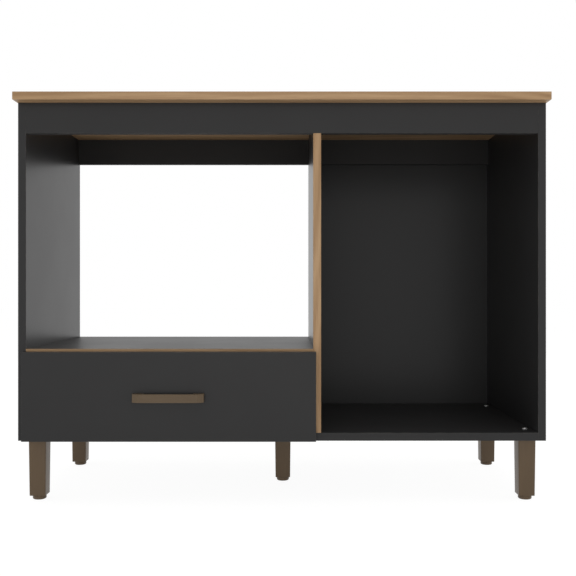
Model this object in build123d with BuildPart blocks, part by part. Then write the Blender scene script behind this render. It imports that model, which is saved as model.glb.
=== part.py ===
from build123d import *
import os
from math import ceil

os.makedirs("parts", exist_ok=True)

# The cabinet stands on the floor at Z = 0 and its front faces -Y, with +X to the right of
# someone who stands before it. The origin is on the floor, under the middle of the whole cabinet.
# All sizes are in millimetres.

# Worktop
worktop_width = 1200.0
worktop_depth = 500.0
worktop_thickness = 18.0
worktop_front_overhang = 31.0
worktop_side_overhang = 2.5
worktop_rounding = 1.0

# Carcass boards
board_thickness = 18.0
carcass_height = 765.0
niche_width = 650.0
drawer_bay_height = 172.0
rail_height = 69.0
back_rail_thickness = 15.0
edge_band_thickness = 1.0
edge_rounding = 0.6

# Thin back panels
back_panel_thickness = 3.0
back_panel_margin = 2.0
back_panel_joint = 1.0

# Feet and levelling glides
foot_height = 134.0
foot_top_width = 40.0
foot_sole_width = 37.0
foot_corner = 3.0
foot_wall = 2.5
foot_sole_thickness = 4.0
foot_rib = 2.0
foot_boss_radius = 8.0
foot_side_inset = 12.5
foot_front_inset = 34.0
foot_back_inset = 28.0
middle_foot_offset = 70.5
glide_height = 10.0
glide_radius = 15.5
glide_rounding = 3.0
glide_stem_radius = 4.0
glide_stem_length = 32.0
glide_stem_room = 2.0
foot_bolt_radius = 3.0
foot_bolt_length = 45.0
foot_bolt_head_radius = 6.2
foot_bolt_head_height = 3.4

# Drawer
drawer_front_thickness = 18.0
drawer_front_gap = 0.5
drawer_front_rise = 1.0
drawer_front_left_overlay = 5.0
drawer_front_right_overlay = 6.0
shelf_reveal = 6.0
drawer_side_thickness = 15.0
drawer_floor_room = 16.0
drawer_top_room = 36.0
drawer_bottom_thickness = 3.0
drawer_groove_rise = 10.0
drawer_groove_depth = 6.0
drawer_groove_room = 0.3
drawer_joint_inset = 25.0

# Bow-shaped pull handle
handle_length = 160.0
handle_height = 19.0
handle_reach = 18.0
handle_end_reach = 12.0
handle_slope = 14.0
handle_leg = 24.0
handle_bar = 7.0
handle_rounding = 1.5
handle_inner_rounding = 4.0
handle_outer_rounding = 3.0
handle_rise = 99.0
handle_screw_spacing = 128.0
handle_screw_radius = 2.0
handle_screw_grip = 9.0
handle_screw_head_radius = 4.0
handle_screw_head_height = 2.4

# Telescopic slides, measured out from the wall that carries them
slide_length = 400.0
slide_setback = 2.0
slide_room = 12.7
slide_height = 45.0
slide_steel = 1.2
slide_bend = 1.2
slide_rim = 10.8
slide_lip = 2.9
middle_rise = 3.0
middle_rim = 10.4
drawer_member_rim = 5.4
outer_ball_radius = 1.5
inner_ball_radius = 1.2
ball_room = 0.05
cage_steel = 0.6
cage_gap = 0.3
cage_length = 160.0
cage_rim_room = 0.6
cage_hole_room = 0.2
cage_end_margin = 8.0
cage_ball_pitch = 24.0

# Fasteners
fit = 0.05
hole_bottom_room = 0.5
cam_radius = 7.5
cam_height = 12.5
cam_distance = 24.0
cam_bore = 3.3
cam_slot_width = 1.2
cam_slot_length = 9.0
cam_slot_depth = 2.0
cam_bolt_radius = 3.0
cam_bolt_thread_radius = 2.5
cam_bolt_thread_length = 11.0
cam_bolt_neck_radius = 2.0
cam_bolt_neck_length = 4.0
cam_bolt_head_length = 3.5
cam_bolt_hole_radius = 3.5
dowel_radius = 4.0
dowel_face_depth = 12.0
dowel_edge_depth = 18.0
cam_inset = 110.0
dowel_inset = 150.0
rail_cam_drop = 15.0
rail_dowel_lift = 18.0
divider_screw_inset = 70.0
divider_screw_head_radius = 5.0
divider_screw_head_height = 3.0
divider_screw_radius = 3.5
divider_screw_thread_radius = 2.5
divider_screw_length = 50.0
bracket_leg = 30.0
bracket_width = 20.0
bracket_steel = 1.5
bracket_front_inset = 60.0
bracket_back_inset = 266.0
bracket_hole_reach = 18.0
wood_screw_radius = 1.75
wood_screw_length = 14.0
wood_screw_head_radius = 3.5
wood_screw_head_height = 2.2
slide_screw_radius = 1.6
slide_screw_length = 12.0
slide_screw_head_radius = 2.6
slide_screw_end_inset = 30.0
back_screw_radius = 2.0
back_screw_length = 40.0
back_screw_head_radius = 4.0
back_screw_head_height = 2.5
nail_radius = 0.75
nail_length = 16.0
nail_head_radius = 1.5
nail_head_height = 0.6
nail_pitch = 150.0
nail_end_inset = 30.0
recess_width = 0.9
recess_depth = 1.2
dome_rim = 0.8

# Heights
carcass_bottom = glide_height + foot_height
carcass_top = carcass_bottom + carcass_height
bottom_top = carcass_bottom + board_thickness
shelf_under = bottom_top + drawer_bay_height
shelf_top = shelf_under + board_thickness
rail_under = carcass_top - rail_height
rail_middle = carcass_top - rail_height / 2

# Places from front to back
front_reach = max(worktop_front_overhang, drawer_front_gap + drawer_front_thickness + handle_reach)
panel_depth = worktop_depth - worktop_front_overhang - back_panel_thickness
carcass_front = (front_reach - panel_depth - back_panel_thickness) / 2
panel_back = carcass_front + panel_depth
worktop_back = panel_back + back_panel_thickness
front_rail_back = carcass_front + board_thickness
back_rail_front = panel_back - back_rail_thickness
front_board_back = carcass_front - drawer_front_gap
front_board_face = front_board_back - drawer_front_thickness

# Places from left to right
carcass_right = worktop_width / 2 - worktop_side_overhang
inner_right = carcass_right - board_thickness
inner_left = -inner_right
divider_left = inner_left + niche_width
divider_right = divider_left + board_thickness
divider_middle = (divider_left + divider_right) / 2

# Drawer places
front_board_left = inner_left - drawer_front_left_overlay
front_board_right = divider_left + drawer_front_right_overlay
front_board_low = carcass_bottom + drawer_front_rise
front_board_high = shelf_top - shelf_reveal
box_left = inner_left + slide_room
box_right = divider_left - slide_room
box_inner_left = box_left + drawer_side_thickness
box_inner_right = box_right - drawer_side_thickness
box_low = bottom_top + drawer_floor_room
box_high = shelf_under - drawer_top_room
box_back = front_board_back + slide_length
box_middle_height = (box_low + box_high) / 2
groove_low = box_low + drawer_groove_rise
groove_high = groove_low + drawer_bottom_thickness + drawer_groove_room
drawer_bottom_edge = drawer_groove_depth - drawer_groove_room
drawer_centre = (front_board_left + front_board_right) / 2
handle_middle_height = front_board_low + handle_rise


# A plane at a joint: X runs into the board that is drilled in its edge, Z towards its bored face
def seat(x, y, z, into, outwards):
    return Plane(origin=(x, y, z), x_dir=into, z_dir=outwards)


# Planes whose Z runs along the joint's own X, into the edge-drilled board or out of it
def along(joint):
    return Plane(origin=joint.origin, x_dir=joint.z_dir, z_dir=joint.x_dir)


def against(joint):
    return Plane(origin=joint.origin, x_dir=joint.z_dir, z_dir=-joint.x_dir)


# Round holes down from each of the planes
def drill(bases, radius, depth):
    with Locations(*bases):
        Hole(radius, depth=depth)


# A straight board between six faces
def slab(west, east, south, north, low, high, mode=Mode.ADD):
    with BuildSketch(Plane.XY.offset(low)) as outline:
        with Locations(((west + east) / 2, (south + north) / 2)):
            Rectangle(east - west, north - south)
    extrude(outline.sketch, amount=high - low, mode=mode)


# Evenly spaced places from first to last, no further apart than the pitch
def spaced(first, last, pitch):
    steps = max(1, ceil((last - first) / pitch))
    return [first + (last - first) * step / steps for step in range(steps + 1)]


# A fastener turned about Z, from points of radius and height
def turned(*points):
    with BuildPart() as piece:
        with BuildSketch(Plane.XZ) as half:
            with BuildLine():
                Polyline(*points, close=True)
            make_face()
        revolve(half.sketch, axis=Axis.Z)
    return piece.part


# The cross-shaped driver recess in a screw's head
def cross_recess(height, length):
    with BuildSketch(Plane.XY.offset(height)) as cross:
        Rectangle(length, recess_width)
        Rectangle(recess_width, length)
    extrude(cross.sketch, amount=-recess_depth, mode=Mode.SUBTRACT)


# A screw with a domed head that bears at Z = 0
def dome_screw(head_radius, head_height, radius, length):
    with BuildPart() as screw:
        with BuildSketch(Plane.XZ) as half:
            with BuildLine():
                Polyline((0, head_height), (0, -length), (radius, -length), (radius, 0), (head_radius, 0),
                         (head_radius, dome_rim))
                TangentArc((0, head_height), (head_radius, dome_rim), tangent=(1, 0))
            make_face()
        revolve(half.sketch, axis=Axis.Z)
        cross_recess(head_height, head_radius)
    return screw.part


# A screw whose head is flush with Z = 0, or its hole, grown by a clearance
def flush_screw(head_radius, head_height, radius, length, grow=0):
    return turned((0, 0), (head_radius + grow, 0), (radius + grow, -head_height), (radius + grow, -length),
                  (0, -length))


# Put a finished fastener on each of the planes, or cut its shape there
def place(piece, bases, mode=Mode.ADD):
    with Locations(*bases):
        add(piece, mode=mode)


# Joints between the carcass boards
cam_rows = (carcass_front + cam_inset, panel_back - cam_inset)
dowel_rows = (carcass_front + dowel_inset, panel_back - dowel_inset)
to_right = (1, 0, 0)
to_left = (-1, 0, 0)
to_back = (0, 1, 0)
to_front = (0, -1, 0)
upwards = (0, 0, 1)
downwards = (0, 0, -1)
bottom_middle = carcass_bottom + board_thickness / 2
shelf_middle = shelf_under + board_thickness / 2
front_rail_middle = carcass_front + board_thickness / 2
back_rail_middle = panel_back - back_rail_thickness / 2
rail_cam_height = rail_middle - rail_cam_drop
rail_dowel_height = rail_middle + rail_dowel_lift

bottom_left_cams = [seat(inner_left, y, bottom_middle, to_right, downwards) for y in cam_rows]
bottom_right_cams = [seat(inner_right, y, bottom_middle, to_left, downwards) for y in cam_rows]
shelf_left_cams = [seat(inner_left, y, shelf_middle, to_right, downwards) for y in cam_rows]
shelf_right_cams = [seat(divider_left, y, shelf_middle, to_left, downwards) for y in cam_rows]
front_rail_left_cam = seat(inner_left, front_rail_middle, rail_cam_height, to_right, to_back)
front_rail_right_cam = seat(inner_right, front_rail_middle, rail_cam_height, to_left, to_back)
back_rail_left_cam = seat(inner_left, back_rail_middle, rail_cam_height, to_right, to_back)
back_rail_right_cam = seat(inner_right, back_rail_middle, rail_cam_height, to_left, to_back)

bottom_cams = bottom_left_cams + bottom_right_cams
shelf_cams = shelf_left_cams + shelf_right_cams
front_rail_cams = [front_rail_left_cam, front_rail_right_cam]
back_rail_cams = [back_rail_left_cam, back_rail_right_cam]
board_cams = bottom_cams + shelf_cams + front_rail_cams
left_side_cams = bottom_left_cams + shelf_left_cams + [front_rail_left_cam, back_rail_left_cam]
right_side_cams = bottom_right_cams + [front_rail_right_cam, back_rail_right_cam]

bottom_left_dowels = [seat(inner_left, y, bottom_middle, to_right, downwards) for y in dowel_rows]
bottom_right_dowels = [seat(inner_right, y, bottom_middle, to_left, downwards) for y in dowel_rows]
shelf_left_dowels = [seat(inner_left, y, shelf_middle, to_right, downwards) for y in dowel_rows]
shelf_right_dowels = [seat(divider_left, y, shelf_middle, to_left, downwards) for y in dowel_rows]
divider_foot_dowels = [seat(divider_middle, y, bottom_top, upwards, to_right) for y in dowel_rows]
front_rail_left_dowel = seat(inner_left, front_rail_middle, rail_dowel_height, to_right, to_back)
front_rail_right_dowel = seat(inner_right, front_rail_middle, rail_dowel_height, to_left, to_back)
back_rail_left_dowel = seat(inner_left, back_rail_middle, rail_dowel_height, to_right, to_back)
back_rail_right_dowel = seat(inner_right, back_rail_middle, rail_dowel_height, to_left, to_back)
rail_dowel_heights = (rail_middle - rail_dowel_lift, rail_middle + rail_dowel_lift)
divider_front_dowels = [
    seat(divider_middle, front_rail_back, z, to_back, to_right) for z in rail_dowel_heights
]
divider_back_dowels = [
    seat(divider_middle, back_rail_front, z, to_front, to_right) for z in rail_dowel_heights
]

bottom_end_dowels = bottom_left_dowels + bottom_right_dowels
shelf_dowels = shelf_left_dowels + shelf_right_dowels
front_rail_end_dowels = [front_rail_left_dowel, front_rail_right_dowel]
back_rail_end_dowels = [back_rail_left_dowel, back_rail_right_dowel]
rail_end_dowels = front_rail_end_dowels + back_rail_end_dowels
divider_edge_dowels = divider_foot_dowels + divider_front_dowels + divider_back_dowels
left_side_dowels = bottom_left_dowels + shelf_left_dowels + [front_rail_left_dowel, back_rail_left_dowel]
right_side_dowels = bottom_right_dowels + [front_rail_right_dowel, back_rail_right_dowel]

# Long screws that hold the divider from under the bottom panel
divider_screw_rows = (carcass_front + divider_screw_inset, panel_back - divider_screw_inset)
divider_screw_seats = [
    seat(divider_middle, y, carcass_bottom, to_right, downwards) for y in divider_screw_rows
]

# Angle brackets under the worktop: X runs out from the wall and Z up to the worktop
bracket_rows = (carcass_front + bracket_front_inset, panel_back - bracket_back_inset)
left_brackets = [seat(inner_left, y, carcass_top, to_right, upwards) for y in bracket_rows]
divider_brackets = [seat(divider_right, y, carcass_top, to_right, upwards) for y in bracket_rows]
right_brackets = [seat(inner_right, y, carcass_top, to_left, upwards) for y in bracket_rows]
brackets = left_brackets + divider_brackets + right_brackets


# The two places on a bracket where its screws bear, one on the wall leg and one on the worktop leg
def bracket_wall_screw(bracket):
    spot = bracket.from_local_coords((bracket_steel, 0, -bracket_hole_reach))
    return Plane(origin=spot, x_dir=bracket.z_dir, z_dir=bracket.x_dir)


def bracket_top_screw(bracket):
    spot = bracket.from_local_coords((bracket_hole_reach, 0, -bracket_steel))
    return Plane(origin=spot, x_dir=bracket.x_dir, z_dir=-bracket.z_dir)


# Foot centres: four at the corners, and one in the middle, to the left of the divider
foot_left = -carcass_right + foot_side_inset + foot_top_width / 2
foot_right = -foot_left
foot_front = carcass_front + foot_front_inset + foot_top_width / 2
foot_back = panel_back - foot_back_inset - foot_top_width / 2
foot_places = {
    "front_left": (foot_left, foot_front),
    "front_right": (foot_right, foot_front),
    "back_left": (foot_left, foot_back),
    "back_right": (foot_right, foot_back),
    "middle": (divider_left - middle_foot_offset, (foot_front + foot_back) / 2),
}
foot_bolt_seats = [seat(x, y, bottom_top, to_right, upwards) for x, y in foot_places.values()]

# Slide screws: Z points away from the board that they hold to
slide_front = carcass_front + slide_setback
slide_screw_rows = spaced(
    slide_front + slide_screw_end_inset, slide_front + slide_length - slide_screw_end_inset, slide_length / 2
)


def slide_screw_seats(x, outwards):
    return [seat(x, y, box_middle_height, to_back, outwards) for y in slide_screw_rows]


left_wall_screws = slide_screw_seats(inner_left + slide_steel, to_right)
right_wall_screws = slide_screw_seats(divider_left - slide_steel, to_left)
left_box_screws = slide_screw_seats(box_left - slide_steel, to_left)
right_box_screws = slide_screw_seats(box_right + slide_steel, to_right)
wall_screws = left_wall_screws + right_wall_screws
box_screws = left_box_screws + right_box_screws

# Nails round the thin back panels
back_panel_split = divider_middle
side_nail_line = carcass_right - board_thickness / 2
top_nail_line = carcass_top - (rail_height / 2 - rail_dowel_lift - dowel_radius) / 2
right_edge_line = (back_panel_split + divider_right) / 2
left_edge_line = (back_panel_split + divider_left) / 2
bay_nail_columns = spaced(divider_right + nail_end_inset, inner_right - nail_end_inset, nail_pitch)
bay_nail_rows = spaced(bottom_top + nail_end_inset, rail_under - nail_end_inset, nail_pitch)
drawer_nail_columns = spaced(inner_left + nail_end_inset, divider_left - nail_end_inset, nail_pitch)
drawer_nail_rows = spaced(bottom_top + nail_end_inset, shelf_under - nail_end_inset, nail_pitch)


def nail_seats(columns, rows):
    return [seat(x, worktop_back, z, to_right, to_back) for x in columns for z in rows]


bay_bottom_nails = nail_seats(bay_nail_columns, [bottom_middle])
bay_rail_nails = nail_seats(bay_nail_columns, [top_nail_line])
bay_side_nails = nail_seats([side_nail_line], bay_nail_rows)
bay_divider_nails = nail_seats([right_edge_line], bay_nail_rows)
drawer_bottom_line_nails = nail_seats(drawer_nail_columns, [bottom_middle])
drawer_shelf_nails = nail_seats(drawer_nail_columns, [shelf_middle])
drawer_side_nails = nail_seats([-side_nail_line], drawer_nail_rows)
drawer_divider_nails = nail_seats([left_edge_line], drawer_nail_rows)
bay_nails = bay_bottom_nails + bay_rail_nails + bay_side_nails + bay_divider_nails
drawer_nails = drawer_bottom_line_nails + drawer_shelf_nails + drawer_side_nails + drawer_divider_nails
bottom_nails = bay_bottom_nails + drawer_bottom_line_nails
divider_nails = bay_divider_nails + drawer_divider_nails

# Drawer joints
left_side_middle = (box_left + box_inner_left) / 2
right_side_middle = (box_right + box_inner_right) / 2
drawer_joint_heights = (box_low + drawer_joint_inset, box_high - drawer_joint_inset)
left_box_cams = [
    seat(left_side_middle, front_board_back, z, to_back, to_right) for z in drawer_joint_heights
]
right_box_cams = [
    seat(right_side_middle, front_board_back, z, to_back, to_left) for z in drawer_joint_heights
]
box_cams = left_box_cams + right_box_cams
drawer_back_low = groove_low + drawer_bottom_thickness
drawer_back_middle = box_back - drawer_side_thickness / 2
left_back_screws = [
    seat(box_left, drawer_back_middle, z, to_back, to_left) for z in drawer_joint_heights
]
right_back_screws = [
    seat(box_right, drawer_back_middle, z, to_back, to_right) for z in drawer_joint_heights
]
drawer_bottom_nail_columns = spaced(
    box_inner_left + nail_end_inset, box_inner_right - nail_end_inset, nail_pitch
)
drawer_bottom_nail_seats = [
    seat(x, drawer_back_middle, groove_low, to_right, downwards) for x in drawer_bottom_nail_columns
]
handle_screw_columns = (
    drawer_centre - handle_screw_spacing / 2,
    drawer_centre + handle_screw_spacing / 2,
)
handle_screw_seats = [
    seat(x, front_board_back, handle_middle_height, to_right, to_back) for x in handle_screw_columns
]


# Holes that the fasteners need in the boards
def drill_cam_bolts(joints):
    thread_hole_depth = cam_bolt_thread_length + hole_bottom_room
    drill([along(joint) for joint in joints], cam_bolt_thread_radius + fit, thread_hole_depth)


def bore_cam_pockets(joints, thickness):
    drill([against(joint) for joint in joints], cam_bolt_hole_radius, cam_distance)
    with Locations(*[joint.offset(thickness / 2) for joint in joints]):
        with Locations((cam_distance, 0)):
            Hole(cam_radius + fit, depth=cam_height)


def drill_dowel_faces(joints):
    drill([along(joint) for joint in joints], dowel_radius + fit, dowel_face_depth + hole_bottom_room)


def drill_dowel_edges(joints):
    drill([against(joint) for joint in joints], dowel_radius + fit, dowel_edge_depth + hole_bottom_room)


def drill_wood_screws(bases):
    drill(bases, wood_screw_radius + fit, wood_screw_length + hole_bottom_room)


def drill_slide_screws(bases):
    drill(bases, slide_screw_radius + fit, slide_screw_length + hole_bottom_room)


def drill_nails(bases):
    drill(bases, nail_radius + fit, nail_length + hole_bottom_room)
    drill(bases, nail_head_radius + fit, nail_head_height)


# Round the front edges that run up a board
def soften_front_edges(part, count):
    front_edges = part.edges().filter_by(Axis.Z).group_by(Axis.Y)[0]
    fillet(front_edges.sort_by(Axis.Z)[:count], edge_rounding)


# Worktop
with BuildPart() as worktop:
    slab(-worktop_width / 2, worktop_width / 2, carcass_front - worktop_front_overhang, worktop_back,
         carcass_top, carcass_top + worktop_thickness)
    fillet(worktop.faces().sort_by(Axis.Z)[-1].edges(), worktop_rounding)
    fillet(worktop.faces().sort_by(Axis.Z)[0].edges(), worktop_rounding)
    drill_wood_screws([bracket_top_screw(bracket) for bracket in brackets])

# Side panels
with BuildPart() as left_side_panel:
    slab(-carcass_right, inner_left, carcass_front, panel_back, carcass_bottom, carcass_top)
    soften_front_edges(left_side_panel, 2)
    drill_cam_bolts(left_side_cams)
    drill_dowel_faces(left_side_dowels)
    drill_wood_screws([bracket_wall_screw(bracket) for bracket in left_brackets])
    drill_slide_screws(left_wall_screws)
    drill_nails(drawer_side_nails)

with BuildPart() as right_side_panel:
    slab(inner_right, carcass_right, carcass_front, panel_back, carcass_bottom, carcass_top)
    soften_front_edges(right_side_panel, 2)
    drill_cam_bolts(right_side_cams)
    drill_dowel_faces(right_side_dowels)
    drill_wood_screws([bracket_wall_screw(bracket) for bracket in right_brackets])
    drill_nails(bay_side_nails)

# Bottom panel between the sides
with BuildPart() as bottom_panel:
    slab(inner_left, inner_right, carcass_front, panel_back, carcass_bottom, bottom_top)
    bore_cam_pockets(bottom_cams, board_thickness)
    drill_dowel_edges(bottom_end_dowels)
    drill_dowel_faces(divider_foot_dowels)
    drill(foot_bolt_seats, foot_bolt_radius + fit, board_thickness)
    place(flush_screw(divider_screw_head_radius, divider_screw_head_height, divider_screw_radius,
                      board_thickness, fit), divider_screw_seats, Mode.SUBTRACT)
    drill_nails(bottom_nails)

# Upright divider, notched at its upper corners for the two rails, with its front edge band
band_back = carcass_front + edge_band_thickness
with BuildPart() as divider_panel:
    slab(divider_left, divider_right, band_back, panel_back, bottom_top, carcass_top)
    slab(divider_left, divider_right, carcass_front, front_rail_back, rail_under, carcass_top, Mode.SUBTRACT)
    slab(divider_left, divider_right, back_rail_front, panel_back, rail_under, carcass_top, Mode.SUBTRACT)
    drill_cam_bolts(shelf_right_cams)
    drill_dowel_faces(shelf_right_dowels)
    drill_dowel_edges(divider_edge_dowels)
    drill(divider_screw_seats, divider_screw_thread_radius + fit, divider_screw_length + hole_bottom_room)
    drill_wood_screws([bracket_wall_screw(bracket) for bracket in divider_brackets])
    drill_slide_screws(right_wall_screws)
    drill_nails(divider_nails)

with BuildPart() as divider_edge_band:
    slab(divider_left, divider_right, carcass_front, band_back, bottom_top, rail_under)

# Shelf over the drawer, with its front edge band
with BuildPart() as niche_shelf:
    slab(inner_left, divider_left, band_back, panel_back, shelf_under, shelf_top)
    bore_cam_pockets(shelf_cams, board_thickness)
    drill_dowel_edges(shelf_dowels)
    drill_nails(drawer_shelf_nails)

with BuildPart() as shelf_edge_band:
    slab(inner_left, divider_left, carcass_front, band_back, shelf_under, shelf_top)

# Rails
with BuildPart() as front_rail:
    slab(inner_left, inner_right, carcass_front, front_rail_back, rail_under, carcass_top)
    fillet(front_rail.edges().filter_by(Axis.X).group_by(Axis.Y)[0].sort_by(Axis.Z)[0], edge_rounding)
    bore_cam_pockets(front_rail_cams, board_thickness)
    drill_dowel_edges(front_rail_end_dowels)
    drill_dowel_faces(divider_front_dowels)

with BuildPart() as back_rail:
    slab(inner_left, inner_right, back_rail_front, panel_back, rail_under, carcass_top)
    bore_cam_pockets(back_rail_cams, back_rail_thickness)
    drill_dowel_edges(back_rail_end_dowels)
    drill_dowel_faces(divider_back_dowels)
    drill_nails(bay_rail_nails)

# Thin back panels, nailed to the rear edges
panel_low = carcass_bottom + back_panel_margin
panel_right = carcass_right - back_panel_margin
joint_half = back_panel_joint / 2
with BuildPart() as back_panel_bay:
    slab(back_panel_split + joint_half, panel_right, panel_back, worktop_back,
         panel_low, carcass_top - back_panel_margin)
    drill_nails(bay_nails)

with BuildPart() as back_panel_drawer:
    slab(-panel_right, back_panel_split - joint_half, panel_back, worktop_back,
         panel_low, shelf_top - back_panel_margin)
    drill_nails(drawer_nails)

# A cam in its joint's frame, which pulls the boards together on its bolt
def cam_fitting(thickness):
    face = Plane.XY.offset(thickness / 2)
    with BuildPart() as cam:
        with BuildSketch(face) as disc:
            with Locations((cam_distance, 0)):
                Circle(cam_radius)
        extrude(disc.sketch, amount=-cam_height)
        with BuildSketch(face) as slot:
            with Locations((cam_distance, 0)):
                Rectangle(cam_slot_length, cam_slot_width)
                Rectangle(cam_slot_width, cam_slot_length)
        extrude(slot.sketch, amount=-cam_slot_depth, mode=Mode.SUBTRACT)
        drill([-Plane.YZ], cam_bore, cam_distance + cam_bore)
    return cam.part


with BuildPart() as cam_fittings:
    place(cam_fitting(board_thickness), board_cams)
    place(cam_fitting(back_rail_thickness), back_rail_cams)

# Cam bolts: a thread in the one board, a shank, and a neck and head that sit in the cam
cam_bolt_head_start = cam_distance - cam_bolt_head_length
cam_bolt_neck_start = cam_bolt_head_start - cam_bolt_neck_length
cam_bolt = turned(
    (0, -cam_bolt_thread_length),
    (cam_bolt_thread_radius, -cam_bolt_thread_length),
    (cam_bolt_thread_radius, 0),
    (cam_bolt_radius, 0),
    (cam_bolt_radius, cam_bolt_neck_start),
    (cam_bolt_neck_radius, cam_bolt_neck_start),
    (cam_bolt_neck_radius, cam_bolt_head_start),
    (cam_bolt_radius, cam_bolt_head_start),
    (cam_bolt_radius, cam_distance),
    (0, cam_distance),
)
with BuildPart() as cam_bolts:
    place(cam_bolt, [along(joint) for joint in board_cams + back_rail_cams])

# Wooden dowels
dowel = turned((0, -dowel_face_depth), (dowel_radius, -dowel_face_depth), (dowel_radius, dowel_edge_depth),
               (0, dowel_edge_depth))
with BuildPart() as dowels:
    dowel_joints = bottom_end_dowels + shelf_dowels + rail_end_dowels + divider_edge_dowels
    place(dowel, [along(joint) for joint in dowel_joints])

# Divider screws
divider_screw = turned(
    (0, 0),
    (divider_screw_head_radius, 0),
    (divider_screw_radius, -divider_screw_head_height),
    (divider_screw_radius, -board_thickness),
    (divider_screw_thread_radius, -board_thickness),
    (divider_screw_thread_radius, -divider_screw_length),
    (0, -divider_screw_length),
)
with BuildPart() as divider_screws:
    place(divider_screw, divider_screw_seats)

# Worktop brackets and their screws
with BuildPart() as bracket_shape:
    with BuildSketch(Plane.XZ) as angle:
        with BuildLine():
            Polyline((0, 0), (bracket_leg, 0), (bracket_leg, -bracket_steel), (bracket_steel, -bracket_steel),
                     (bracket_steel, -bracket_leg), (0, -bracket_leg), close=True)
        make_face()
    extrude(angle.sketch, amount=bracket_width / 2, both=True)
    leg_screws = [bracket_wall_screw(Plane.XY), bracket_top_screw(Plane.XY)]
    drill(leg_screws, wood_screw_radius + fit, bracket_steel)

with BuildPart() as worktop_brackets:
    place(bracket_shape.part, brackets)

wood_screw = dome_screw(wood_screw_head_radius, wood_screw_head_height, wood_screw_radius, wood_screw_length)
with BuildPart() as bracket_screws:
    place(wood_screw, [bracket_wall_screw(bracket) for bracket in brackets])
    place(wood_screw, [bracket_top_screw(bracket) for bracket in brackets])

# Back panel nails
nail = turned(
    (0, 0),
    (nail_head_radius, 0),
    (nail_head_radius, -nail_head_height),
    (nail_radius, -nail_head_height),
    (nail_radius, -nail_length),
    (0, -nail_length),
)
with BuildPart() as back_panel_nails:
    place(nail, bay_nails + drawer_nails)

# Foot bolts, seen from above on the bottom panel
foot_bolt = dome_screw(foot_bolt_head_radius, foot_bolt_head_height, foot_bolt_radius, foot_bolt_length)
with BuildPart() as foot_bolts:
    place(foot_bolt, foot_bolt_seats)

cabinet_pieces = {
    "worktop": worktop,
    "left_side_panel": left_side_panel,
    "right_side_panel": right_side_panel,
    "bottom_panel": bottom_panel,
    "divider_panel": divider_panel,
    "divider_edge_band": divider_edge_band,
    "niche_shelf": niche_shelf,
    "shelf_edge_band": shelf_edge_band,
    "front_rail": front_rail,
    "back_rail": back_rail,
    "back_panel_bay": back_panel_bay,
    "back_panel_drawer": back_panel_drawer,
    "cam_fittings": cam_fittings,
    "cam_bolts": cam_bolts,
    "dowels": dowels,
    "divider_screws": divider_screws,
    "worktop_brackets": worktop_brackets,
    "bracket_screws": bracket_screws,
    "back_panel_nails": back_panel_nails,
    "foot_bolts": foot_bolts,
}
for label, piece in cabinet_pieces.items():
    piece.part.label = label
    export_step(piece.part, f"parts/{label}.step")

# Feet: tapered moulded shells, open at the top, with a ribbed boss for the bolt and the glide's stem
stem_hole_depth = glide_stem_length + glide_stem_room
bolt_hole_depth = foot_bolt_length - board_thickness + hole_bottom_room
sole_inner_width = foot_sole_width - 2 * foot_wall
top_inner_width = foot_top_width - 2 * foot_wall
sole = Plane.XY.offset(glide_height)
rim = sole.offset(foot_height)
with BuildPart() as foot_hollow:
    with BuildSketch(sole.offset(foot_sole_thickness)):
        Rectangle(sole_inner_width, sole_inner_width)
    with BuildSketch(rim):
        Rectangle(top_inner_width, top_inner_width)
    loft()
    with BuildSketch(rim) as core:
        Circle(foot_boss_radius)
        Rectangle(foot_top_width, foot_rib)
        Rectangle(foot_rib, foot_top_width)
    extrude(core.sketch, amount=-foot_height, mode=Mode.SUBTRACT)

with BuildPart() as foot_shape:
    with BuildSketch(sole):
        RectangleRounded(foot_sole_width, foot_sole_width, foot_corner)
    with BuildSketch(rim):
        RectangleRounded(foot_top_width, foot_top_width, foot_corner)
    loft()
    add(foot_hollow.part, mode=Mode.SUBTRACT)
    drill([rim], foot_bolt_radius + fit, bolt_hole_depth)
    drill([-sole], glide_stem_radius + fit, stem_hole_depth)

# Levelling glides: a round pad with a threaded stem that runs up into the foot
with BuildPart() as glide_shape:
    with BuildSketch() as disc:
        Circle(glide_radius)
    extrude(disc.sketch, amount=glide_height)
    fillet(glide_shape.edges().sort_by(Axis.Z)[0], glide_rounding)
    with BuildSketch(sole) as stem:
        Circle(glide_stem_radius)
    extrude(stem.sketch, amount=glide_stem_length)

for corner, foot_place in foot_places.items():
    with BuildPart() as foot:
        place(foot_shape.part, [foot_place])
    foot.part.label = f"foot_{corner}"
    export_step(foot.part, f"parts/foot_{corner}.step")

    with BuildPart() as glide:
        place(glide_shape.part, [foot_place])
    glide.part.label = f"glide_{corner}"
    export_step(glide.part, f"parts/glide_{corner}.step")

# Drawer front, with a groove for the drawer bottom
with BuildPart() as drawer_front:
    slab(front_board_left, front_board_right, front_board_face, front_board_back,
         front_board_low, front_board_high)
    fillet(drawer_front.faces().sort_by(Axis.Y)[0].edges(), edge_rounding)
    slab(box_inner_left - drawer_groove_depth, box_inner_right + drawer_groove_depth,
         front_board_back - drawer_groove_depth, front_board_back, groove_low, groove_high, Mode.SUBTRACT)
    drill_cam_bolts(box_cams)
    drill(handle_screw_seats, handle_screw_radius + fit, drawer_front_thickness)

# Drawer sides
back_screw_hole = flush_screw(back_screw_head_radius, back_screw_head_height, back_screw_radius,
                              drawer_side_thickness, fit)
with BuildPart() as drawer_side_left:
    slab(box_left, box_inner_left, front_board_back, box_back, box_low, box_high)
    slab(box_inner_left - drawer_groove_depth, box_inner_left, front_board_back, box_back,
         groove_low, groove_high, Mode.SUBTRACT)
    bore_cam_pockets(left_box_cams, drawer_side_thickness)
    drill_slide_screws(left_box_screws)
    place(back_screw_hole, left_back_screws, Mode.SUBTRACT)

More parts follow.
